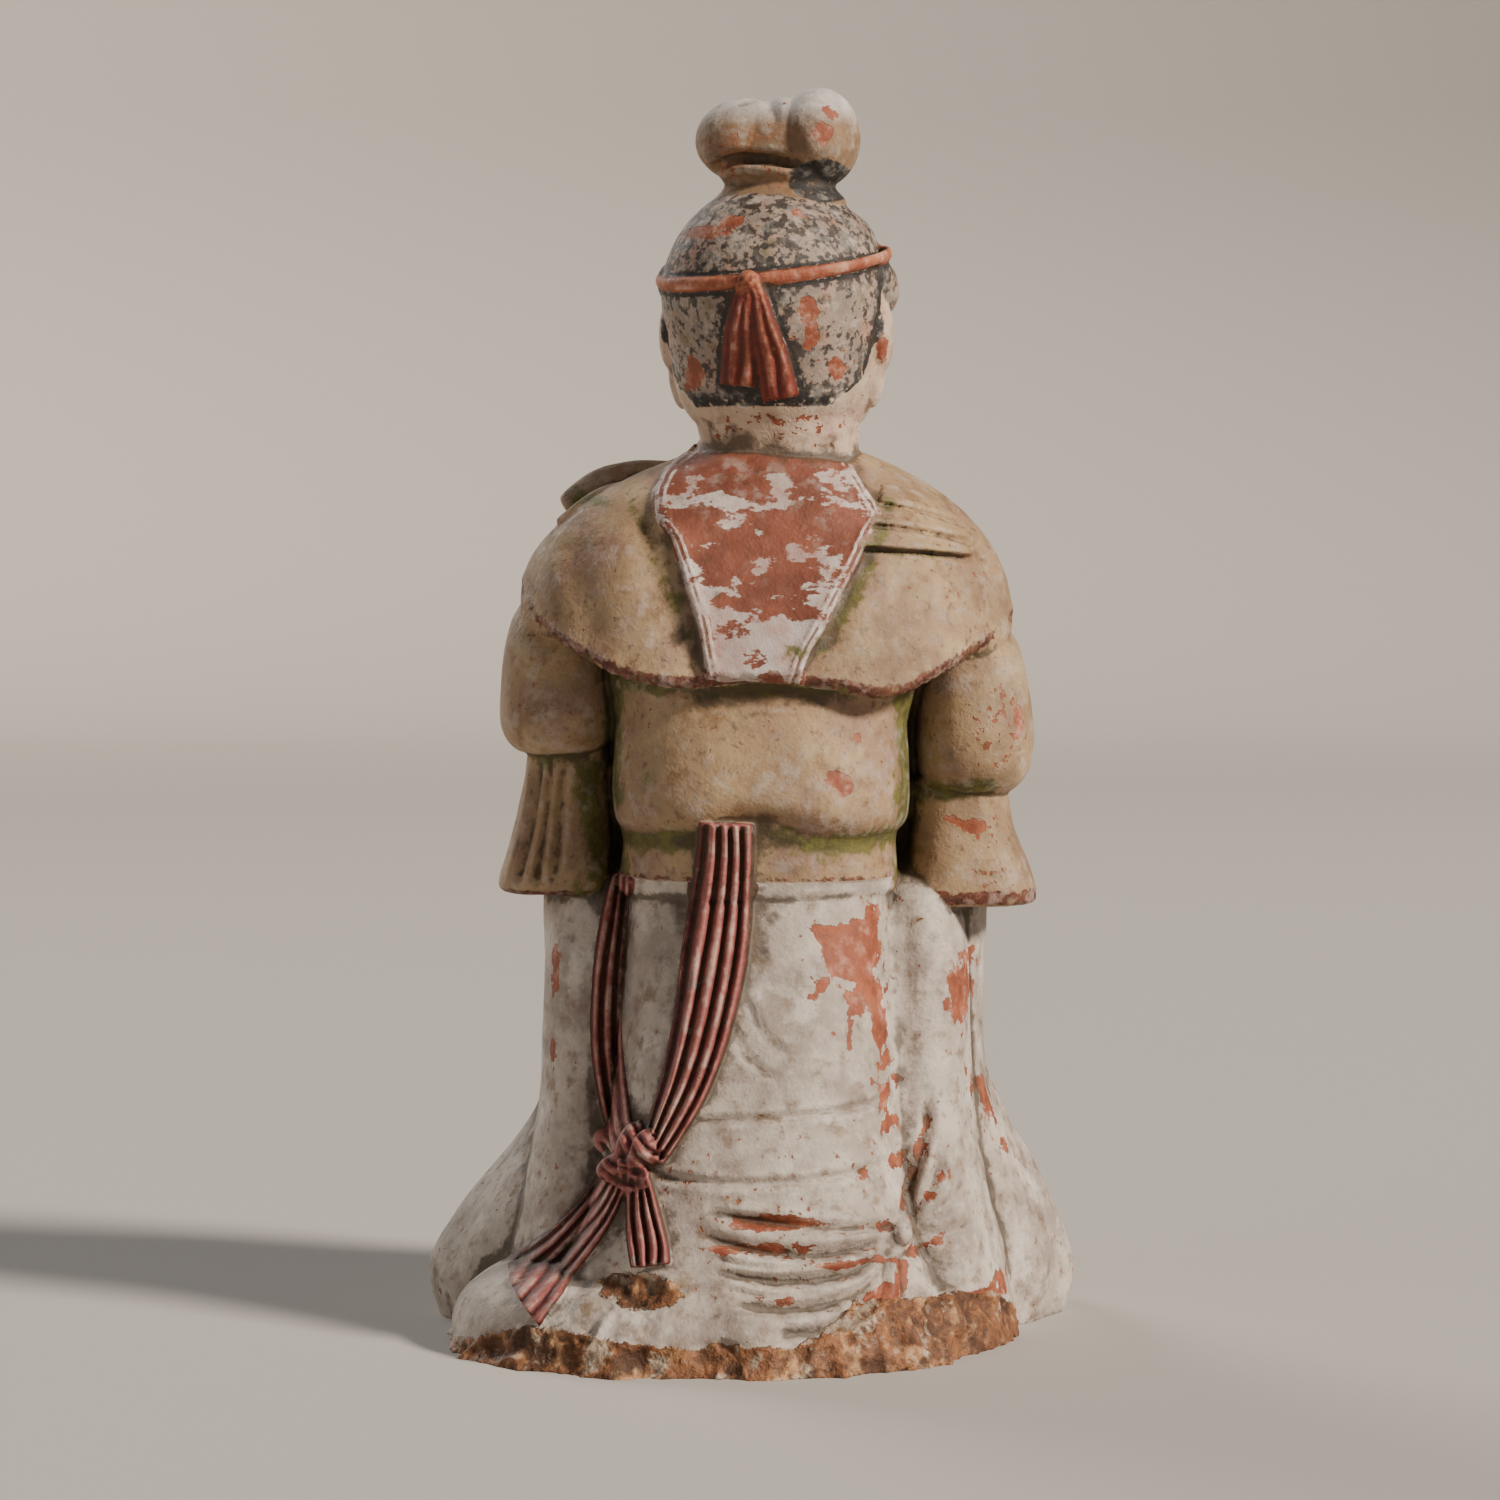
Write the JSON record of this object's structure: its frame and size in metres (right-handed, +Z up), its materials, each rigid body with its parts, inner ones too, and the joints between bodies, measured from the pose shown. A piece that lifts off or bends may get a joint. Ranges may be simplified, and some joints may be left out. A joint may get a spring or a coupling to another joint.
{
  "type": "pottery attendant figure",
  "caption": "Kneeling attendant in painted earthenware with a topknot, shoulder cape, puffed sleeves, sash ribbons and wide sleeves that spread to the floor.",
  "frame": {"origin": "on the floor plane at the centre of the figure's bounding box", "axes": "+Z up along the figure's height, the figure faces -Y, and +X is its own left"},
  "size_m": [0.3516, 0.34, 0.6604],
  "materials": {
    "painted_earthenware": "matte painted earthenware, worn white slip and mineral colours over orange-red clay"
  },
  "bodies": {
    "root": {"attendant_figure": "painted_earthenware"}
  },
  "joints": []
}
